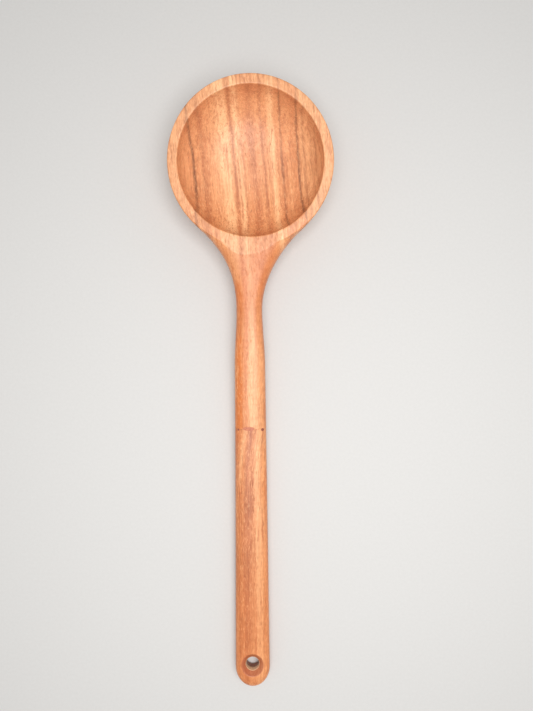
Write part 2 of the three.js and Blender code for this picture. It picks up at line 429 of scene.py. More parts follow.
@dataclass(frozen=True)
class Spot:
    """One spot of filler: an oval pocket in the crown, filled a hair proud.

    Its share is the oval's (across/half_width, along/half_length) as a length, and the pocket is a
    parabola of it, depth * (1 - share^2). The filler stands proud of the crown and keeps its play
    from the pocket's floor.
    """

    name: str
    node: str
    across: float
    along: float
    half_width: float
    half_length: float
    depth: float = 0.35 * MM
    proud: float = 0.03 * MM
    play: float = 0.03 * MM

    def share(self, across: Array, along: Array) -> Array:
        """Share of the way from the spot's middle to its outline."""
        return np.hypot((across - self.across) / self.half_width, (along - self.along) / self.half_length)

    def pocket(self, across: Array, along: Array) -> Array:
        """Depth of the pocket there."""
        return self.depth * np.maximum(1.0 - self.share(across, along) ** 2, 0.0)


@dataclass(frozen=True)
class Handle:
    """The long handle: its rings, its crown and the square glued joint across it."""

    form: SpoonForm
    columns: int = 240
    gap: float = 0.04 * MM
    arris: float = 0.05 * MM
    bore_radius: float = 3.3 * MM
    bore_depth: float = 19.5 * MM
    drill_point: float = 1.4 * MM
    joint_zone: float = 2.4 * MM
    ring_search: float = 36.0 * MM
    joint_search: float = 16.0 * MM
    crown_search: float = 9.0 * MM
    spots: tuple[Spot, ...] = (
        Spot("spot_crown", "filler_crown", -1.05 * MM, 0.2 * MM, 3.9 * MM, 1.25 * MM),
        Spot("spot_left", "filler_left", -7.1 * MM, -0.45 * MM, 0.55 * MM, 0.7 * MM),
        Spot("spot_right", "filler_right", 7.1 * MM, -0.45 * MM, 0.9 * MM, 0.95 * MM),
    )

    @property
    def slope(self) -> float:
        """Slope of the handle's middle line at the joint, as an angle."""
        y = self.form.splice_y + np.array([-0.5, 0.5]) * MM
        low, high = self.form.centre_z(y)
        return math.atan(float(high - low) / MM)

    @property
    def axis(self) -> Array:
        """Direction along the dowel, toward the bowl."""
        return np.array([0.0, math.cos(self.slope), math.sin(self.slope)])

    @property
    def up(self) -> Array:
        """Direction square to the dowel, toward the crown."""
        return np.array([0.0, -math.sin(self.slope), math.cos(self.slope)])

    @property
    def middle(self) -> Array:
        """Middle of the joint's plane."""
        y = np.array(self.form.splice_y)
        return np.array([float(self.form.centre_x(y)), float(y), float(self.form.centre_z(y))])

    def angles(self) -> Array:
        """Angles of a ring's rays: 0 points down and the middle column points at the crest."""
        return np.arange(self.columns) * (2 * math.pi / self.columns)

    def rays(self, start: Array, tilt: Array, reach: float) -> Array:
        """Surface points of flat rings: rays from each start, turned in the plane of its tilt.

        A ray at angle a runs along X sin a + D cos a, where D points down and leans by the tilt.

        Args:
            start: One ray origin for each ring.
            tilt: Angle of each ring's plane from upright.
            reach: How far to look.

        Returns:
            Points by ring and column.
        """
        angle = self.angles()
        side = np.stack([np.sin(angle), 0 * angle, 0 * angle], -1)
        down = np.stack([0 * tilt, np.sin(tilt), -np.cos(tilt)], -1)
        heading = side[None] + np.cos(angle)[None, :, None] * down[:, None]
        return march(self.form.outside, start[:, None], heading, reach)

    def rings(self, y: Array, tilt: Array) -> Array:
        """Rings round the handle's middle line at the given places."""
        start = np.stack([self.form.centre_x(y), y, self.form.centre_z(y)], -1)
        return self.rays(start, tilt, self.ring_search)

    def near_rows(self) -> Array:
        """Distances of the rings beside the joint, from the far one to the arris on the end face."""
        return np.concatenate([np.linspace(self.joint_zone, 0.25 * MM, 13), [self.gap + self.arris]])

    def beside_joint(self, offsets: Array) -> Array:
        """Rings beside the joint, with the spots' pockets pressed into their crowns.

        Args:
            offsets: Distances from the joint's plane, toward the bowl.

        Returns:
            Points by ring and column.
        """
        start = self.middle + offsets[:, None] * self.axis
        points = self.rays(start, np.full(len(offsets), self.slope), self.joint_search)
        local = points - self.middle
        along, above = local @ self.axis, local @ self.up
        depth = sum(spot.pocket(local[..., 0], along) for spot in self.spots)
        return points - np.where(above > 0.0, depth, 0.0)[..., None] * self.up

    def crown(self, across: Array, along: Array) -> Array:
        """Points of the crown beside the joint, straight over the given places."""
        start = self.middle + across[..., None] * X_AXIS + along[..., None] * self.axis
        return march(self.form.outside, start, self.up, self.crown_search)

    def mouth(self) -> Array:
        """Circle of the dowel's bore in the joint's plane, one point for each column."""
        angle = self.angles()[:, None]
        return self.middle + self.bore_radius * (np.sin(angle) * X_AXIS - np.cos(angle) * self.up)

    def socket(self, ring: Array, side: int) -> Array:
        """End face and dowel's bore, as rows from the outline to the bore's bottom.

        The outline is eased by a small arris, the face shrinks straight to the bore's circle, and the
        bore is a cylinder along the axis that closes on a drill's shallow cone.

        Args:
            ring: Outline of the handle at the joint.
            side: 1 in the wood toward the bowl, -1 in the wood toward the handle's end.

        Returns:
            Points by row and column.
        """
        mouth = self.mouth() + side * self.gap * self.axis
        flat = ring + side * self.gap * self.axis - ((ring - self.middle) @ self.axis)[:, None] * self.axis
        inward = mouth - flat
        edge = flat + inward * (self.arris / np.linalg.norm(inward, axis=1, keepdims=True))
        face = [blend(edge, mouth, share) for share in (0.0, 0.35, 0.7, 1.0)]
        wall = [mouth + side * self.axis * self.bore_depth * share for share in (0.01, 0.3, 0.65, 1.0)]
        pole = self.middle + side * (self.bore_depth + self.drill_point) * self.axis
        return np.stack([*face, *wall, np.broadcast_to(pole, ring.shape)])


@dataclass
class BowlAndNeck:
    """The front piece: hollowed bowl, flat rim, neck and the front of the handle."""

    handle: Handle
    lip_radius: float = 0.7 * MM
    hinge_y: float = 74.0 * MM
    ray_depth: float = 7.5 * MM
    fan_search: float = 100.0 * MM
    rim_lift: float = 6.0 * MM
    rim_search: float = 8.0 * MM
    turn_length: float = 6.0 * MM

    def cavity(self) -> Array:
        """Rows of the hollow, from its bottom up to the rim's flat.

        The wall is the superellipse r = R sin^(2/n) t, depth = D cos^(2/n) t, and a quarter circle
        rounds the lip.
        """
        form, angle = self.handle.form, self.handle.angles()[None]
        power = 2.0 / form.cavity_roundness
        turn = np.linspace(0.0, 1.0, 44) ** 0.9 * (math.pi / 2)
        radius = form.opening_radius * np.sin(turn) ** power
        depth = form.cavity_depth * np.abs(np.cos(turn)) ** power
        low = depth > self.lip_radius
        bend = np.linspace(0.0, math.pi / 2, 7)
        radius = np.concatenate([radius[low], form.opening_radius + self.lip_radius * (1 - np.cos(bend))])
        depth = np.concatenate([depth[low], self.lip_radius * (1 - np.sin(bend))])
        radius, depth = radius[:, None], depth[:, None]
        return form.from_rim(radius * np.sin(angle), radius * np.cos(angle), -depth + 0 * angle)

    def fan(self) -> Array:
        """Rings cut by planes that hinge on a line across the neck, from the rim's plane to upright.

        A plane at angle t below the rim's plane holds rays from a point at distance min(s, d/sin t)
        from the hinge, where s is the rim's centre and d keeps the point in the wood.
        """
        form = self.handle.form
        dip = np.radians(np.concatenate([np.geomspace(0.05, 4.0, 22), np.linspace(5.0, 90.0, 84)]))
        span = (form.bowl_y - self.hinge_y) / math.cos(form.rim_tilt)
        length = np.minimum(span, self.ray_depth / np.sin(dip))
        start = form.from_rim(0.0 * dip, length * np.cos(dip) - span, -length * np.sin(dip))
        return self.handle.rays(start, form.rim_tilt + math.pi / 2 - dip, self.fan_search)

    def flat(self, lip: Array, edge: Array) -> Array:
        """Rows of the flat rim: straight shares from lip to edge, then raised to the surface."""
        form = self.handle.form
        share = np.array([0.15, 0.3, 0.45, 0.6, 0.72, 0.82, 0.89, 0.935, 0.963, 0.98, 0.992])
        points = blend(lip[None], edge[None], share[:, None, None])
        up = np.array([0.0, -math.sin(form.rim_tilt), math.cos(form.rim_tilt)])
        return march(form.outside, points - self.rim_lift * up, up, self.rim_search)

    def build(self) -> bpy.types.Object:
        """Carries one grid from the hollow's bottom over the rim and along the handle to the bore."""
        form, handle = self.handle.form, self.handle
        cavity, fan = self.cavity(), self.fan()
        near = form.splice_y + handle.joint_zone
        y = np.linspace(self.hinge_y, near, 64)[1:-1]
        tilt = blend(handle.slope, form.rim_tilt, smoothstep(y, near, self.hinge_y - self.turn_length))
        rear = handle.rings(y, tilt)
        beside = handle.beside_joint(handle.near_rows())
        rows = [cavity, self.flat(cavity[-1], fan[0]), fan, rear, beside, handle.socket(beside[-1], 1)]
        skin = Skin()
        skin.add(np.concatenate(rows))
        piece = skin.build("bowl_and_neck")
        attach(piece, "root")
        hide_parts("spoon_head")
        return piece


@dataclass
class HandleRear:
    """The rear piece: straight handle, rounded end and hanging hole."""

    handle: Handle
    hole_radius: float = 4.0 * MM
    hole_from_end: float = 14.2 * MM
    cut_from_hole: float = 15.0 * MM
    ring_reach: float = 4.3 * MM
    top_flare: float = 2.8 * MM
    top_depth: float = 2.6 * MM
    back_flare: float = 1.6 * MM
    back_depth: float = 1.5 * MM
    edge_softness: float = 0.35 * MM
    end_columns: int = 150

    @property
    def hole(self) -> Array:
        """Place of the hole in plan."""
        y = self.handle.form.end_y + self.hole_from_end
        return np.array([float(self.handle.form.centre_x(np.array(y))), y])

    @property
    def cut_y(self) -> float:
        """Y where the rings stop and the end's top and back take over."""
        return float(self.hole[1]) + self.cut_from_hole

    def face_height(self, x: Array, y: Array, side: int) -> Array:
        """Height of the crowned top or back: middle height, plus or less T/2 (1 - share^n)^(1/n)."""
        form = self.handle.form
        across = (x - form.centre_x(y)) / form.half_width(y)
        past = np.maximum(form.round_y - y, 0.0) / form.end_round
        rise = np.maximum(1.0 - np.hypot(across, past) ** form.handle_squareness, 0.0)
        return form.centre_z(y) + side * form.thickness(y) / 2 * rise ** (1 / form.handle_squareness)

    def outline(self) -> Array:
        """Plan of the end, from the left of the cut round to its right, at the widest height.

        The sides follow the handle's half width, and the end is a half oval (w sin t, d cos t).
        """
        form = self.handle.form
        count = self.end_columns // 4
        side_y = np.linspace(self.cut_y, form.round_y, count)[:-1]
        turn = np.linspace(0.0, math.pi, self.end_columns - 2 * count)
        y = np.concatenate([side_y, form.round_y - form.end_round * np.sin(turn), side_y[::-1]])
        left, end, right = np.split(form.half_width(y), [count - 1, len(y) + 1 - count])
        x = np.concatenate([-left, -end * np.cos(turn), right])
        return np.stack([x + form.centre_x(y), y, form.centre_z(y)], -1)

    def face(self, border: Array, side: int) -> Array:
        """Rows from the outline in to the hole's waist, on the top or on the back.

        Close to the hole the rows are circles, and their height is the softened lower of the crowned
        face and the countersink's cone. Further out they spread to the outline by a sine share.

        Args:
            border: Closed outline of this face.
            side: 1 for the top, -1 for the back.

        Returns:
            Points by row and column.
        """
        flare, depth = (self.top_flare, self.top_depth) if side > 0 else (self.back_flare, self.back_depth)
        angle = np.arctan2(border[:, 0] - self.hole[0], border[:, 1] - self.hole[1])
        spoke = np.stack([np.sin(angle), np.cos(angle)], -1)
        reach = np.linspace(1.0, 0.0, 26)[:, None] * self.ring_reach + self.hole_radius
        circles = self.hole + reach[..., None] * spoke
        share = np.sin(np.linspace(1.0, 0.0, 16)[:-1] * math.pi / 2)[:, None, None]
        outer = blend(circles[0], border[None, :, :2], share)
        plan = np.concatenate([outer, circles])
        distance = np.linalg.norm(plan - self.hole, axis=-1)
        face = self.face_height(plan[..., 0], plan[..., 1], side) * side
        flat = float(self.face_height(np.array([self.hole[0]]), np.array([self.hole[1]]), side)[0]) * side
        cone = flat - depth + (distance - self.hole_radius) * depth / flare
        height = soft_union(face, cone, self.edge_softness) * side
        height[0] = border[:, 2]
        top = np.concatenate([plan, height[..., None]], -1)
        middle = float(self.handle.form.centre_z(np.array(self.hole[1])))
        wall = [
            np.concatenate([plan[-1], blend(top[-1, :, 2:], np.full_like(top[-1, :, 2:], middle), share)], -1)
            for share in (0.08, 0.5, 1.0)
        ]
        return np.concatenate([top, np.stack(wall)])

    def build(self) -> bpy.types.Object:
        """Carries rings from the joint to the cut, then closes the end with a top and a back."""
        form, handle = self.handle.form, self.handle
        beside = handle.beside_joint(-handle.near_rows()[::-1])
        near, cut = form.splice_y - handle.joint_zone, self.cut_y
        y = np.linspace(near, cut, 84)[1:]
        rings = handle.rings(y, handle.slope * smoothstep(y, cut, near))
        skin = Skin()
        skin.add(np.concatenate([handle.socket(beside[0], -1)[::-1], beside, rings]))

        last, quarter = rings[-1], handle.columns // 4
        over = last[quarter : 3 * quarter + 1]
        under = np.concatenate([last[3 * quarter :], last[: quarter + 1]])
        outline = self.outline()
        outline[0], outline[-1] = over[-1], over[0]
        skin.add(self.face(np.concatenate([over, outline[1:-1]]), 1))
        skin.add(self.face(np.concatenate([under, outline[::-1][1:-1]]), -1))
        piece = skin.build("handle_rear")
        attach(piece, "root")
        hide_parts("handle_tail")
        return piece


@dataclass
class JointFilling:
    """What shows of the joint: its hairline of glue and the spots of filler in the crown."""

    handle: Handle
    film_half: float = 0.03 * MM
    film_inset: float = 0.06 * MM
    spot_fill: float = 0.93
    spot_waver: float = 0.05

    def glue_seam(self) -> bpy.types.Object:
        """A thin sheet in the joint, with the handle's outline and a hole for the dowel."""
        handle = self.handle
        ring = handle.rays(handle.middle[None], np.array([handle.slope]), handle.joint_search)[0]
        mouth = handle.mouth()
        inward = mouth - ring
        edge = ring + inward * (self.film_inset / np.linalg.norm(inward, axis=1, keepdims=True))
        local = edge - handle.middle
        lowered = sum(spot.pocket(local[:, 0], 0.0 * local[:, 0]) for spot in handle.spots)
        edge = edge - np.where(local @ handle.up > 0.0, lowered, 0.0)[:, None] * handle.up
        lift = self.film_half * handle.axis
        skin = Skin()
        skin.add(np.stack([mouth - lift, edge - lift, edge + lift, mouth + lift, mouth - lift]))
        piece = skin.build("glue_seam")
        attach(piece, "root")
        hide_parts("glue_film")
        return piece

    def spot(self, spot: Spot) -> bpy.types.Object:
        """A spot of filler, as two crowns on one wavering oval: a hair proud above, its pocket below."""
        turn = np.linspace(0.0, 2 * math.pi, 73)[:-1]
        share = np.sin(np.linspace(0.0, math.pi / 2, 12))[:, None] * self.spot_fill
        share = share * (1 - self.spot_waver * (1 - np.cos(3 * turn + spot.half_width / MM)) / 2)
        across = spot.across + spot.half_width * share * np.sin(turn)
        along = spot.along + spot.half_length * share * np.cos(turn)
        crown = self.handle.crown(across, along)
        rim = 1.0 - (share / share[-1]) ** 2
        above = crown + (spot.proud * rim)[..., None] * self.handle.up
        sunk = np.minimum(spot.depth * (1 - share**2) - spot.play, spot.depth) * np.minimum(1.0, 6 * rim)
        below = crown - np.maximum(sunk, 0.0)[..., None] * self.handle.up
        skin = Skin()
        skin.add(np.concatenate([above, below[::-1][1:]]))
        piece = skin.build(spot.name)
        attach(piece, "root")
        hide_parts(spot.node)
        return piece


# --- Shader benches ---


@dataclass(frozen=True)
class Wire:
    """A shader socket. Operators on a number's wire add Math nodes."""

    bench: "Bench"
    socket: bpy.types.NodeSocket

    def __add__(self, other: "Wire | float") -> "Wire":
        """Sum."""
        return self.bench.math("ADD", self, other)

    def __radd__(self, other: float) -> "Wire":
        """Sum, with the number first."""
        return self.bench.math("ADD", other, self)

    def __sub__(self, other: "Wire | float") -> "Wire":
        """Difference."""
        return self.bench.math("SUBTRACT", self, other)

    def __rsub__(self, other: float) -> "Wire":
        """Difference, with the number first."""
        return self.bench.math("SUBTRACT", other, self)

    def __mul__(self, other: "Wire | float") -> "Wire":
        """Product."""
        return self.bench.math("MULTIPLY", self, other)

    def __pow__(self, power: float) -> "Wire":
        """Power."""
        return self.bench.math("POWER", self, power)


Place = tuple[Wire, Wire, Wire]
Scale = tuple[float, float, float]


class Bench:
    """A material's node tree, and the ways to add to it."""

    def __init__(self, name: str) -> None:
        """Starts a material with nothing but its output."""
        self.material = bpy.data.materials.new(name)
        self.material.use_nodes = True
        self.tree = self.material.node_tree
        self.tree.nodes.clear()

    def node(
        self, kind: str, settings: dict[str, Any] | None = None, inputs: dict[str, Any] | None = None
    ) -> bpy.types.Node:
        """Adds one node.

        Args:
            kind: The node's type, without its Shader Node prefix.
            settings: Its own settings, set first.
            inputs: Values or wires for its sockets, by identifier.

        Returns:
            The new node.
        """
        made = self.tree.nodes.new("ShaderNode" + kind)
        for key, value in (settings or {}).items():
            setattr(made, key, value)
        sockets = {socket.identifier: socket for socket in made.inputs}
        for key, value in (inputs or {}).items():
            if isinstance(value, Wire):
                self.tree.links.new(value.socket, sockets[key])
            else:
                sockets[key].default_value = value
        return made

    def ramp(self, share: Wire, stops: Sequence[tuple[float, Colour]]) -> Wire:
        """Colour by share, eased between stops in rising order."""
        made = self.node("ValToRGB", inputs={"Fac": share})
        made.color_ramp.interpolation = "EASE"
        while len(made.color_ramp.elements) < len(stops):
            made.color_ramp.elements.new(1.0)
        for element, (place, colour) in zip(made.color_ramp.elements, stops):
            element.position = place
            element.color = colour
        return Wire(self, made.outputs[0])

    def math(self, operation: str, *values: "Wire | float") -> Wire:
        """Math node on one or two values."""
        made = self.node("Math", {"operation": operation}, dict(zip(("Value", "Value_001"), values)))
        return Wire(self, made.outputs[0])

    def mix(self, share: "Wire | float", first: Any, second: Any, blend_type: str = "MIX") -> Wire:
        """Colour from first at share 0 to second at share 1."""
        settings = {"data_type": "RGBA", "blend_type": blend_type, "clamp_factor": True}
        made = self.node("Mix", settings, {"Factor_Float": share, "A_Color": first, "B_Color": second})
        return Wire(self, made.outputs[2])

    def place(self) -> Place:
        """Place in millimetres, as three parts."""
        coordinates = self.node("TexCoord")
        inputs = {"Vector": Wire(self, coordinates.outputs["Object"]), "Scale": (1 / MM,) * 3}
        scaled = self.node("Mapping", {"vector_type": "POINT"}, inputs)
        parts = self.node("SeparateXYZ", inputs={"Vector": Wire(self, scaled.outputs[0])})
        x, y, z = (Wire(self, socket) for socket in parts.outputs)
        return x, y, z

    def joined(self, x: "Wire | float", y: "Wire | float", z: "Wire | float") -> Wire:
        """Vector from three numbers."""
        made = self.node("CombineXYZ", inputs={"X": x, "Y": y, "Z": z})
        return Wire(self, made.outputs[0])

    def noise(
        self, place: Wire, detail: float = 2.0, roughness: float = 0.5, distortion: float = 0.0
    ) -> Wire:
        """Cloudy noise around 0.5, one cell to a unit."""
        values = {"Scale": 1.0, "Detail": detail, "Roughness": roughness, "Distortion": distortion}
        made = self.node("TexNoise", {"noise_dimensions": "3D"}, {"Vector": place, **values})
        return Wire(self, made.outputs[0])

    def lay(self, share: Wire, colour: Wire, tone: "Tone") -> Wire:
        """Colour with a share of one tone laid over it."""
        return self.mix(share, colour, tone.value)

    def rise(self, value: Wire, low: float, high: float, smooth: bool = True) -> Wire:
        """0 below low to 1 above high."""
        settings = {"interpolation_type": "SMOOTHSTEP" if smooth else "LINEAR", "clamp": True}
        limits = {"From Min": low, "From Max": high, "To Min": 0.0, "To Max": 1.0}
        made = self.node("MapRange", settings, {"Value": value, **limits})
        return Wire(self, made.outputs[0])

    def bell(self, value: Wire, middle: float, width: float) -> Wire:
        """Bell curve: exp(-((value - middle) / width)^2)."""
        away = (value - middle) * (1.0 / width)
        return self.math("EXPONENT", away * away * -1.0)

    def finish(self, colour: Wire, roughness: "Wire | float", height: Wire, depth: float) -> None:
        """Closes the tree with a bump and the surface shader.

        Args:
            colour: Base colour.
            roughness: Roughness.
            height: Relief, 0 to 1.
            depth: How deep the relief is, in metres.
        """
        bump = self.node("Bump", inputs={"Strength": 1.0, "Distance": depth, "Height": height})
        wires = {"Base Color": colour, "Roughness": roughness, "Normal": Wire(self, bump.outputs[0])}
        shader = self.node("BsdfPrincipled", inputs={**wires, "IOR": REFRACTION})
        self.node("OutputMaterial", inputs={"Surface": Wire(self, shader.outputs[0])})


def tint(red: float, green: float, blue: float) -> Colour:
    """Linear colour from screen values of 0 to 255, by the screen's power."""
    red, green, blue = ((value / 255) ** SCREEN_POWER for value in (red, green, blue))
    return red, green, blue, 1.0


# --- Finishes ---


class Tone(Enum):
    """The wood's colours, from pale sapwood to the growth lines' brown, then the sanded rim's and the
    countersink's. The amber, and the tones for the bowl's sheen, the web's shade and the bore's wall, are
    painted light and shade.
    """

    CREAM = tint(248, 190, 138)
    STRAW = tint(235, 168, 117)
    HONEY = tint(226, 153, 103)
    TAN = tint(215, 138, 91)
    # Painted shade: this amber darkens the handle's edges, the web's left flank and the handle toward its
    # end.
    SHADE_AMBER = tint(214, 122, 66)
    RUSSET = tint(192, 113, 75)
    CHESTNUT = tint(144, 78, 53)
    UMBER = tint(106, 62, 44)
    # Painted sheen: this pale tone lightens the bowl.
    BOWL_SHEEN = tint(250, 212, 172)
    RIM_NECK = tint(218, 146, 102)
    RIM_TIP = tint(238, 178, 134)
    # Painted shade: this darker red-brown darkens the neck and web.
    WEB_SHADE = tint(204, 116, 68)
    SINK = tint(166, 88, 62)
    # Painted shade deep in the hanging hole's wall, then painted light at its top.
    BORE_SHADE = tint(132, 76, 44)
    BORE_LIT = tint(246, 204, 158)


Bands = tuple[tuple[float, Tone], ...]


@dataclass(frozen=True)
class LengthwiseStripe:
    """A dark or pale stripe along the grain, in mm: its place across, width, strength, tone and run along.
    Most are growth lines; some paint shade and light along the handle's front and the web.
    """

    across: float
    width: float
    strength: float
    tone: Tone = Tone.CHESTNUT
    start: float = PAST_TAIL
    end: float = PAST_TIP

    def mark(self, bench: Bench, across: Wire, y: Wire) -> Wire:
        """Share of the line's tone, which fades in and out at the ends of its run."""
        mark = bench.bell(across, self.across, self.width) * self.strength
        if self.start > PAST_TAIL:
            mark = mark * bench.rise(y, self.start, self.start + LINE_FADE)
        if self.end < PAST_TIP:
            mark = mark * bench.rise(y, self.end, self.end - LINE_FADE)
        return mark


@dataclass(frozen=True)
class OiledWood:
    """Oiled hardwood with straight grain: broad bands, growth lines, fibres, flecks and pores, with painted
    sheen and shade in places.

    Each band is given by its middle, as a distance across the grain in mm, and its tone.
    The pattern is solid and runs along Y. Its coordinate across the grain is x plus a lean that grows
    between two places along the piece, and a slow wander. The figure is stretched noise of that
    coordinate, y and z. Its strength goes from calm to 1 between calm_from and calm_to along the piece,
    and painted shade deepens the tone toward amber toward the tail. Places are in mm.
    """

    name: str
    bands: Bands
    lines: tuple[LengthwiseStripe, ...]
    lean_from: float
    lean_to: float
    lean: float
    seed: float
    rim_plane: tuple[float, float, float] | None = None
    sink: tuple[float, float, float] | None = None
    calm_from: float = 40.0
    calm_to: float = 85.0
    calm: float = 0.65
    wander: float = 0.9
    tail_shade: float = 0.0
    depth: float = 0.05 * MM

    def layer(self, place: Place, scale: Scale, seeded: int = 1, shift: float = 0.0, **grain: float) -> Wire:
        """Adds one layer of stretched noise.

        Args:
            place: The three wires that it varies with.
            scale: Cells to a millimetre on each of them.
            seeded: Which of them the seed moves.
            shift: How far the first one is moved besides.
            grain: The noise's detail, roughness and distortion.

        Returns:
            The noise, around 0.5.
        """
        bench = place[0].bench
        parts = [wire * size for wire, size in zip(place, scale)]
        parts[0] = parts[0] + shift if shift else parts[0]
        parts[seeded] = parts[seeded] + self.seed
        return bench.noise(bench.joined(*parts), **grain)

    def bent(self, bench: Bench, place: Place) -> Wire:
        """The coordinate across the grain."""
        x, y, _ = place
        slow = self.layer(place, (0.045, 0.016, 0.05), detail=1.0)
        quick = self.layer(place, (0.12, 0.055, 0.1), shift=7.0)
        jitter = self.layer(place, (0.4, 0.22, 0.4))
        across = x + bench.rise(y, self.lean_from, self.lean_to, False) * self.lean
        return across + (slow - 0.5) * self.wander * 2.0 + (quick - 0.5) * 1.2 + (jitter - 0.5) * 1.1

    def banded(self, bench: Bench, across: Wire) -> Wire:
        """Colours of the broad bands."""
        low, high = self.bands[0][0], self.bands[-1][0]
        stops = [((middle - low) / (high - low), tone.value) for middle, tone in self.bands]
        return bench.ramp((across - low) * (1.0 / (high - low)), stops)

    def make(self) -> bpy.types.Material:
        """Builds the material: bands, streaks, stripes along the grain, pores, the sanded rim and
        countersink, painted sheen and shade, then the figure's multiply.
        """
        bench = Bench(self.name)
        place = bench.place()
        x, y, z = place
        across = self.bent(bench, place)
        along = (across, y, z)

        streak = self.layer(along, (0.42, 0.008, 0.16), 0, detail=3.0, roughness=0.6)
        thread = self.layer(along, (0.95, 0.02, 0.6), detail=4.0, roughness=0.65)
        fibre = self.layer(along, (4.5, 0.2, 3.5), 2, roughness=0.6)
        fleck = self.layer(along, (1.6, 0.3, 1.6), roughness=0.6, distortion=0.6)
        ripple = self.layer(along, (0.22, 0.5, 0.3), detail=1.0)
        mottle = self.layer(place, (0.1, 0.06, 0.1))
        pore = self.layer(along, (1.9, 0.2, 1.9), 2, detail=1.0)
        patch = self.layer(along, (0.12, 0.045, 0.05), detail=1.0)
        vigour = self.calm + bench.rise(y, self.calm_from, self.calm_to) * (1.0 - self.calm)
        sanded = self.sanded(bench, y, z)

        colour = self.banded(bench, across)
        colour = bench.lay(bench.rise(streak, 0.5, 0.7) * vigour * 0.6, colour, Tone.RUSSET)
        colour = bench.lay(bench.rise(streak, 0.5, 0.3) * 0.4, colour, Tone.STRAW)
        broken = (0.6 + bench.rise(thread, 0.35, 0.6) * 0.4) * (0.62 + bench.rise(patch, 0.36, 0.56) * 0.38)
        broken = broken if sanded is None else broken * (1.0 - sanded * 0.2)
        for line in self.lines:
            colour = bench.lay(line.mark(bench, across, y) * broken, colour, line.tone)
        colour = bench.lay(bench.rise(thread, 0.5, 0.7) * vigour * 0.75, colour, Tone.RUSSET)
        colour = bench.lay(bench.rise(fleck, 0.5, 0.72) * 0.4, colour, Tone.CREAM)
        pores = bench.rise(pore, 0.6, 0.76)
        colour = bench.lay(pores * vigour * 0.5, colour, Tone.CHESTNUT)
        # Painted shade: the tone deepens toward amber toward the tail, where the light falls off.
        colour = bench.lay(bench.rise(y, -20.0, -150.0) * self.tail_shade, colour, Tone.SHADE_AMBER)
        colour = self.worked_and_painted_light(bench, colour, sanded, x, y, z)

        figure = (fibre - 0.5) * 0.55 + (fleck - 0.5) * 0.35 - (thread - 0.5) * 0.45
        figure = figure if sanded is None else figure * (1.0 + sanded * 0.5)
        shade = 1.0 + figure * (0.35 + vigour * 0.65) + (ripple - 0.5) * 0.28 + (mottle - 0.5) * 0.25
        warm = bench.node("CombineColor", inputs={"Red": shade**0.8, "Green": shade, "Blue": shade**1.2})
        colour = bench.mix(1.0, colour, Wire(bench, warm.outputs[0]), "MULTIPLY")

        roughness = 0.38 + (thread - 0.5) * 0.25 + pores * 0.15
        relief = fibre * 0.6 + thread * 0.4 - pores * 0.9
        bench.finish(colour, roughness, relief, self.depth)
        return bench.material

    def sanded(self, bench: Bench, y: Wire, z: Wire) -> Wire | None:
        """Share of the sanded rim: 1 on its plane and 0 just below it."""
        if self.rim_plane is None:
            return None
        centre_y, centre_z, tilt = self.rim_plane
        above = (z - centre_z) * math.cos(tilt) - (y - centre_y) * math.sin(tilt)
        return bench.rise(above, -0.16, -0.03) * bench.rise(y, 70.0, 78.0)

    def worked_and_painted_light(self, bench: Bench, colour: Wire, sanded: Wire | None, x: Wire, y: Wire, z: Wire) -> Wire:
        """Sanded rim and redder countersink, with painted light: sheen on the bowl, shade on the neck and
        web, and the bore's wall dark low down and pale at its top.
        """
        if sanded is not None:
            # Painted sheen: the bowl, off the rim's flat, is lightened a little.
            inside = bench.rise(y, 92.0, 128.0) * (1.0 - sanded)
            colour = bench.lay(inside * 0.1, colour, Tone.BOWL_SHEEN)
            rim = bench.mix(bench.rise(y, 84.0, 118.0), Tone.RIM_NECK.value, Tone.RIM_TIP.value)
            colour = bench.mix(sanded * 0.32, colour, rim)
            # Painted shade: the neck and web, off the rim's flat, are darkened and warmed.
            web = bench.rise(y, 92.0, 78.0) * (1.0 - sanded)
            colour = bench.lay(web * bench.rise(y, 10.0, 60.0) * 0.6, colour, Tone.WEB_SHADE)
        if self.sink is not None:
            hole_x, hole_y, reach = self.sink
            away_x, away_y = x - hole_x, y - hole_y
            distance = bench.math("SQRT", away_x * away_x + away_y * away_y)
            cut = bench.rise(distance, reach, reach - 0.7)
            colour = bench.lay(cut * 0.65, colour, Tone.SINK)
            # Painted shade and light: the hole's wall is dark low down and pale at its top.
            wall = bench.mix(bench.rise(z, 4.2, 6.6), Tone.BORE_SHADE.value, Tone.BORE_LIT.value)
            colour = bench.mix(bench.rise(distance, 4.25, 4.05) * 0.9, colour, wall)
        return colour


@dataclass(frozen=True)
class PlainFill:
    """Filler, glue or dowel stock: one tone mottled by stretched noise, with a little relief."""

    name: str
    light: Colour
    dark: Colour
    scale: Scale
    roughness: float
    depth: float = 0.02 * MM

    def make(self) -> bpy.types.Material:
        """Builds the material."""
        bench = Bench(self.name)
        x, y, z = bench.place()
        grain = bench.noise(bench.joined(x * self.scale[0], y * self.scale[1], z * self.scale[2]), 3.0, 0.6)
        cloud = bench.noise(bench.joined(x * 0.5, y * 0.5, z * 0.5), 2.0)
        share = bench.rise(grain * 0.7 + cloud * 0.3, 0.32, 0.68)
        colour = bench.mix(share, self.dark, self.light)
        roughness = self.roughness + (grain - 0.5) * 0.2
        bench.finish(colour, roughness, grain, self.depth)
        return bench.material


# --- Studio ---


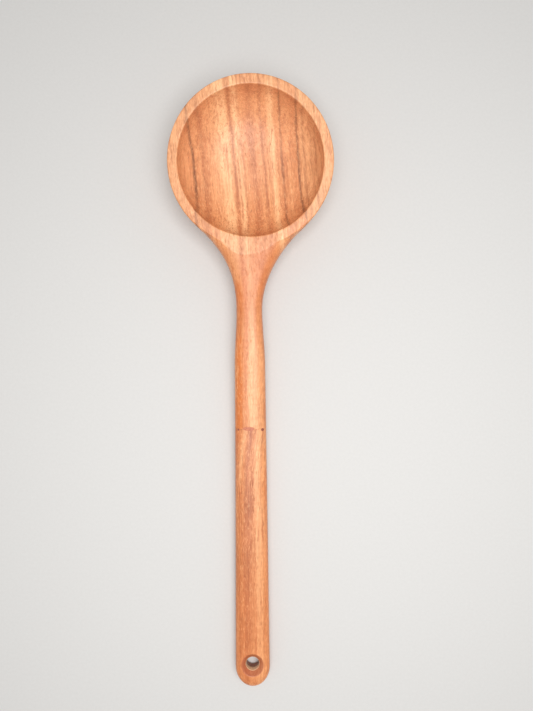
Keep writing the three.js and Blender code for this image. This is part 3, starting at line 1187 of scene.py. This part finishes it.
@dataclass
class Studio:
    """Pale floor, one broad soft lamp over the handle, an even fill, and the camera straight above."""

    camera_place: tuple[float, float, float] = (8.8 * MM, 22.3 * MM, 326.0 * MM)
    lens: float = 27.04
    lamp_place: tuple[float, float, float] = (0.05, -0.03, 0.52)
    lamp_aim: tuple[float, float, float] = (0.0, 0.02, 0.0)
    lamp_size: float = 0.36
    lamp_power: float = 2.55
    fill: float = 0.46
    floor_reach: float = 8.0
    floor_drop: float = 0.02 * MM

    def floor(self) -> bpy.types.Object:
        """A wide plain floor under the spoon, as one flat grid."""
        side = np.linspace(-self.floor_reach, self.floor_reach, 9)
        x, y = np.meshgrid(side, side)
        skin = Skin()
        skin.add(np.stack([x, y, 0 * x - self.floor_drop], -1), wrap=False)
        plane = skin.build("floor", closed=False)
        bench = Bench("floor_paper")
        across, along, _ = bench.place()
        grain = bench.noise(bench.joined(across * 0.6, along * 0.6, 0.0), 3.0)
        colour = bench.mix(grain, tint(208, 207, 205), tint(215, 214, 212))
        bench.finish(colour, 0.85, grain, 0.01 * MM)
        plane.data.materials.append(bench.material)
        return plane

    def lamps(self) -> None:
        """A square area lamp aimed at the front of the handle, and an even pale surround."""
        data = bpy.data.lights.new("lamp", "AREA")
        data.shape = "SQUARE"
        data.size = self.lamp_size
        data.energy = self.lamp_power
        lamp = bpy.data.objects.new("lamp", data)
        offset = np.array(self.lamp_aim) - np.array(self.lamp_place)
        heading = offset / np.linalg.norm(offset)
        lamp.location = self.lamp_place
        lamp.visible_camera = False
        lamp.rotation_euler = (math.acos(-heading[2]), 0.0, math.atan2(-heading[0], heading[1]))
        bpy.context.scene.collection.objects.link(lamp)

        world = bpy.data.worlds.new("surround")
        world.use_nodes = True
        background = world.node_tree.nodes["Background"]
        background.inputs["Color"].default_value = (1.0, 0.98, 0.96, 1.0)
        background.inputs["Strength"].default_value = self.fill
        bpy.context.scene.world = world

    def camera(self) -> None:
        """A camera that looks straight down, with the bowl at the top."""
        data = bpy.data.cameras.new("camera")
        data.lens = self.lens
        data.sensor_width = 36.0
        data.clip_start = 0.01
        camera = bpy.data.objects.new("camera", data)
        camera.location = self.camera_place
        bpy.context.scene.collection.objects.link(camera)
        bpy.context.scene.camera = camera
        bpy.context.scene.view_settings.view_transform = "Standard"


# The cream bands at -9.5, -6 and 0 mm are partly pale wood and partly a painted sheen in the bowl's middle.
HEAD_BANDS: Bands = (
    (-46.0, Tone.TAN), (-36.0, Tone.HONEY), (-30.0, Tone.HONEY), (-26.5, Tone.TAN),
    (-23.5, Tone.HONEY), (-20.5, Tone.TAN), (-17.0, Tone.HONEY), (-12.0, Tone.STRAW),
    (-9.5, Tone.CREAM), (-6.0, Tone.CREAM), (-3.0, Tone.TAN), (0.0, Tone.CREAM),
    (3.5, Tone.HONEY), (7.0, Tone.TAN), (10.0, Tone.TAN), (12.5, Tone.HONEY),
    (14.6, Tone.TAN), (17.0, Tone.HONEY), (20.5, Tone.CREAM), (23.0, Tone.HONEY),
    (25.5, Tone.TAN), (29.0, Tone.HONEY), (32.0, Tone.TAN), (34.5, Tone.TAN),
    (37.0, Tone.STRAW), (42.0, Tone.STRAW), (54.0, Tone.HONEY),
)
HEAD_LINES = (
    LengthwiseStripe(-26.3, 0.75, 1.0, Tone.UMBER),
    LengthwiseStripe(-20.7, 1.5, 0.55),
    LengthwiseStripe(-2.9, 1.0, 0.55, start=62.0),
    LengthwiseStripe(2.3, 0.7, 0.25, start=62.0),
    LengthwiseStripe(8.3, 1.6, 0.35, start=62.0),
    LengthwiseStripe(14.6, 0.9, 0.5, start=85.0),
    LengthwiseStripe(25.3, 0.6, 0.75, Tone.UMBER, 85.0),
    LengthwiseStripe(34.5, 0.7, 1.0, Tone.UMBER, 85.0),
    LengthwiseStripe(37.7, 0.7, 0.5),
    LengthwiseStripe(41.5, 0.8, 0.3),
    LengthwiseStripe(43.6, 0.8, 0.4),
    # Painted light and shade: honey and straw light the crest and its right side, and amber shades both
    # edges, most at the left, and the web's left flank.
    LengthwiseStripe(-0.5, 2.6, 0.7, Tone.HONEY, -60.0, 30.0),
    LengthwiseStripe(4.5, 2.4, 0.6, Tone.STRAW, -60.0, 36.0),
    LengthwiseStripe(-8.0, 4.0, 1.6, Tone.SHADE_AMBER, -60.0, 70.0),
    LengthwiseStripe(9.0, 1.6, 0.5, Tone.SHADE_AMBER, -60.0, 70.0),
    LengthwiseStripe(-18.0, 7.0, 0.6, Tone.SHADE_AMBER, 10.0, 84.0),
)
TAIL_BANDS: Bands = (
    (-14.0, Tone.RUSSET), (-8.0, Tone.RUSSET), (-5.0, Tone.TAN), (-3.0, Tone.TAN),
    (0.3, Tone.RUSSET), (2.5, Tone.TAN), (5.0, Tone.HONEY), (7.0, Tone.STRAW),
    (9.5, Tone.STRAW), (12.0, Tone.TAN), (18.0, Tone.RUSSET),
)
TAIL_LINES = (
    # Painted shade: these two amber stripes darken both edges of the handle beside the joint.
    LengthwiseStripe(-9.0, 2.6, 0.7, Tone.SHADE_AMBER, -70.0, 0.0),
    LengthwiseStripe(10.0, 2.4, 0.7, Tone.SHADE_AMBER, -70.0, 0.0),
    LengthwiseStripe(0.2, 1.0, 0.3),
    LengthwiseStripe(1.6, 0.4, 0.45, Tone.UMBER, -125.0, -45.0),
    LengthwiseStripe(-3.6, 1.0, 0.6, Tone.CREAM, -60.0, 0.0),
    LengthwiseStripe(5.3, 0.9, 0.6, Tone.CREAM, -60.0, 0.0),
    LengthwiseStripe(7.0, 1.0, 0.5, Tone.CREAM, -140.0, -75.0),
    LengthwiseStripe(-4.8, 3.4, 0.55, Tone.CHESTNUT, -170.0, -64.0),
    LengthwiseStripe(2.0, 2.8, 0.5, Tone.CHESTNUT, -155.0, -44.0),
)


def dress(piece: bpy.types.Object, material: bpy.types.Material) -> None:
    """Gives a piece one material and reports it."""
    if piece.data.materials:
        for slot in piece.material_slots:
            slot.material = material
    else:
        piece.data.materials.append(material)
    LOG.info("%s: %d faces, %s", piece.name, len(piece.data.polygons), material.name)


def main() -> None:
    """Builds the spoon piece by piece, dresses it and sets up the studio."""
    logging.basicConfig(level=logging.INFO, format="%(name)s: %(message)s")
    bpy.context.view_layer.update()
    form = SpoonForm()
    handle = Handle(form)
    rear = HandleRear(handle)
    filling = JointFilling(handle)

    rim = (form.bowl_y / MM, form.rim_z / MM, form.rim_tilt)
    hole = (float(rear.hole[0]) / MM, float(rear.hole[1]) / MM, 7.0)
    front_wood = OiledWood("oiled_wood_front", HEAD_BANDS, HEAD_LINES, 55.0, 175.0, 10.6, 3.7, rim_plane=rim)
    rear_wood = OiledWood(
        "oiled_wood_rear", TAIL_BANDS, TAIL_LINES, -20.4, -46.0, 3.0, 11.3, sink=hole, tail_shade=0.4, calm=1.15
    )
    filler = PlainFill("dark_filler", tint(170, 98, 76), tint(120, 64, 52), (1.5, 4.0, 1.5), 0.5)
    crown_filler = PlainFill("crown_filler", tint(212, 130, 95), tint(176, 98, 70), (0.9, 2.5, 0.9), 0.45)
    glue = PlainFill("glue_line", tint(190, 122, 80), tint(158, 96, 60), (3.0, 3.0, 3.0), 0.4)
    dowel = PlainFill("dowel_stock", tint(222, 184, 134), tint(190, 146, 98), (4.0, 0.12, 4.0), 0.6)

    dress(BowlAndNeck(handle).build(), front_wood.make())
    dress(rear.build(), rear_wood.make())
    dress(filling.glue_seam(), glue.make())
    filler_material, crown_material = filler.make(), crown_filler.make()
    for spot in handle.spots:
        dress(filling.spot(spot), crown_material if spot.name == "spot_crown" else filler_material)
    dress(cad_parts["splice_dowel"], dowel.make())

    studio = Studio()
    studio.floor()
    studio.lamps()
    studio.camera()

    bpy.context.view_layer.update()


if __name__ == "__main__":
    main()
